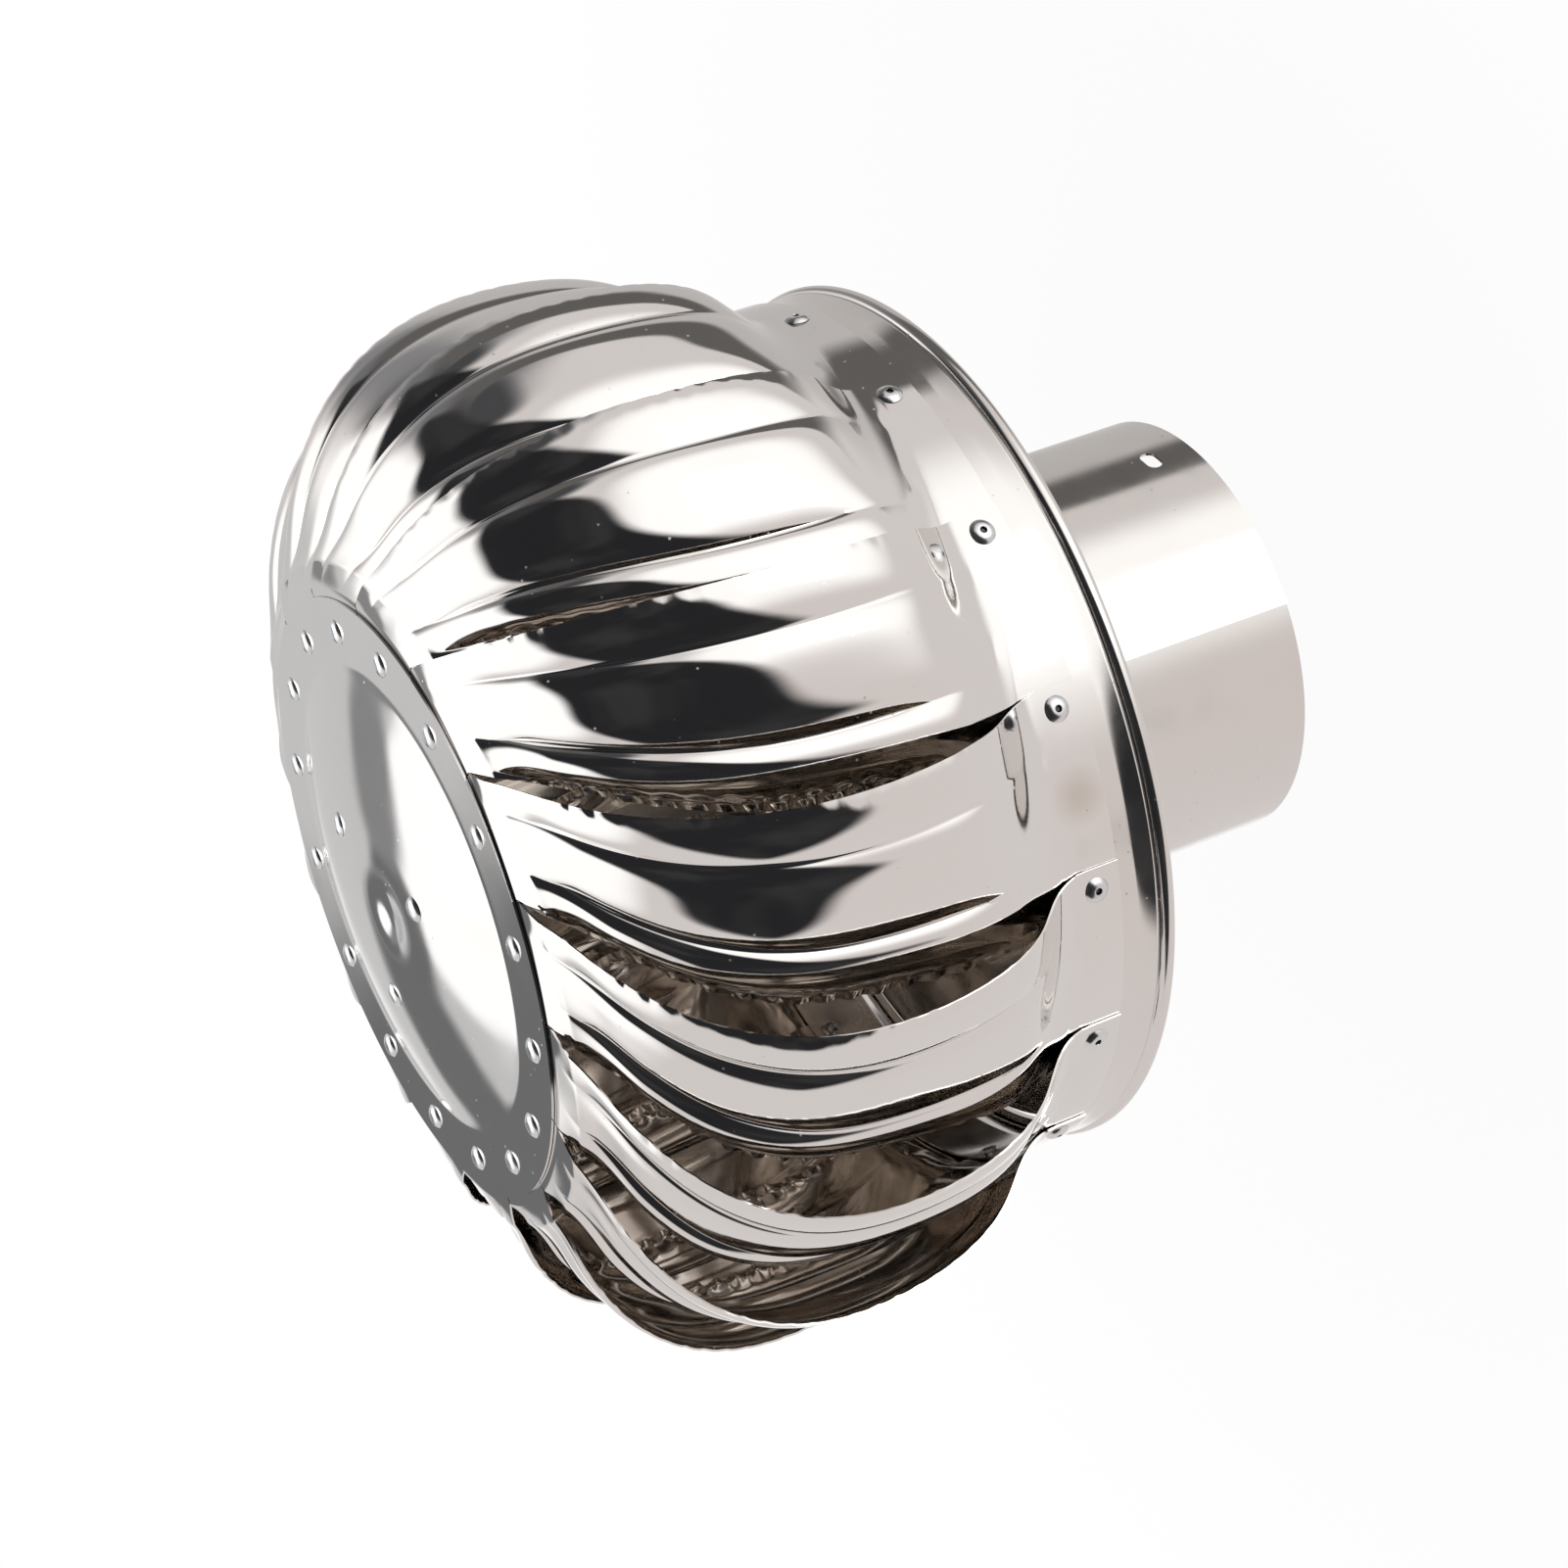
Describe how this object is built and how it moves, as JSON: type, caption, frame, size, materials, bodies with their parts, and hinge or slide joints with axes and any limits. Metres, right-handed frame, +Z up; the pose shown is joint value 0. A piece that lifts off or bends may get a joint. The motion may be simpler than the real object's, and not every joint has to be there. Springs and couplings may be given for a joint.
{
  "type": "roof turbine ventilator",
  "caption": "Wind-driven roof turbine ventilator with a domed bladed head turning on a short round neck that slips over a vent pipe.",
  "frame": {"origin": "centre of the neck's open lower end", "axes": "+Z up along the spin axis, from the neck to the cap; +X towards one ring rivet of the head at rest"},
  "size_m": [0.2726, 0.2726, 0.2345],
  "materials": {
    "polished_sheet": "polished stainless steel sheet",
    "blade_sheet": "mirror polished stainless steel sheet",
    "inner_steel": "mill finish stainless steel",
    "rivet_steel": "bright rivet steel",
    "plated_steel": "zinc plated",
    "bearing_steel": "ground bearing steel",
    "cage_brass": "stamped",
    "housing_aluminium": "turned"
  },
  "bodies": {
    "base": {"neck_tube": "polished_sheet", "base_skirt": "polished_sheet", "skirt_rivets": "rivet_steel", "upper_strap": "inner_steel", "lower_strap": "inner_steel", "strap_rivets": "rivet_steel", "centre_shaft": "plated_steel", "upper_strap_washer": "plated_steel", "upper_strap_nut": "plated_steel", "lower_strap_washer": "plated_steel", "lower_strap_nut": "plated_steel", "bearing_seat_nut": "plated_steel", "bearing_seat_washer": "plated_steel", "lower_inner_race": "bearing_steel", "inner_spacer": "plated_steel", "upper_inner_race": "bearing_steel", "bearing_top_washer": "plated_steel", "bearing_lock_nut": "plated_steel"},
    "rotor": {"top_cap": "polished_sheet", "cap_backing_ring": "inner_steel", "cap_rivets": "rivet_steel", "bearing_housing": "housing_aluminium", "dome_rivets": "rivet_steel", "lower_outer_race": "bearing_steel", "outer_spacer": "plated_steel", "upper_outer_race": "bearing_steel", "circlip": "plated_steel", "base_ring": "polished_sheet", "ring_rivets": "rivet_steel", "blade_01": "blade_sheet", "blade_02": "blade_sheet", "blade_03": "blade_sheet", "blade_04": "blade_sheet", "blade_05": "blade_sheet", "blade_06": "blade_sheet", "blade_07": "blade_sheet", "blade_08": "blade_sheet", "blade_09": "blade_sheet", "blade_10": "blade_sheet", "blade_11": "blade_sheet", "blade_12": "blade_sheet", "blade_13": "blade_sheet", "blade_14": "blade_sheet", "blade_15": "blade_sheet", "blade_16": "blade_sheet"},
    "lower_ball_set": {"lower_bearing_cage": "cage_brass", "lower_bearing_balls": "bearing_steel"},
    "upper_ball_set": {"upper_bearing_cage": "cage_brass", "upper_bearing_balls": "bearing_steel"}
  },
  "joints": [
    {"name": "rotor_spin", "type": "hinge", "parent": "base", "child": "rotor", "pos_m": [0, 0, 0.2], "axis": [0, 0, 1], "continuous": true},
    {"name": "lower_balls_spin", "type": "hinge", "parent": "base", "child": "lower_ball_set", "pos_m": [0, 0, 0.203], "axis": [0, 0, 1], "continuous": true},
    {"name": "upper_balls_spin", "type": "hinge", "parent": "base", "child": "upper_ball_set", "pos_m": [0, 0, 0.223], "axis": [0, 0, 1], "continuous": true}
  ],
  "couplings": [
    {"joint": "lower_balls_spin", "follows": "rotor_spin", "ratio": 0.62667},
    {"joint": "upper_balls_spin", "follows": "rotor_spin", "ratio": 0.62667}
  ]
}
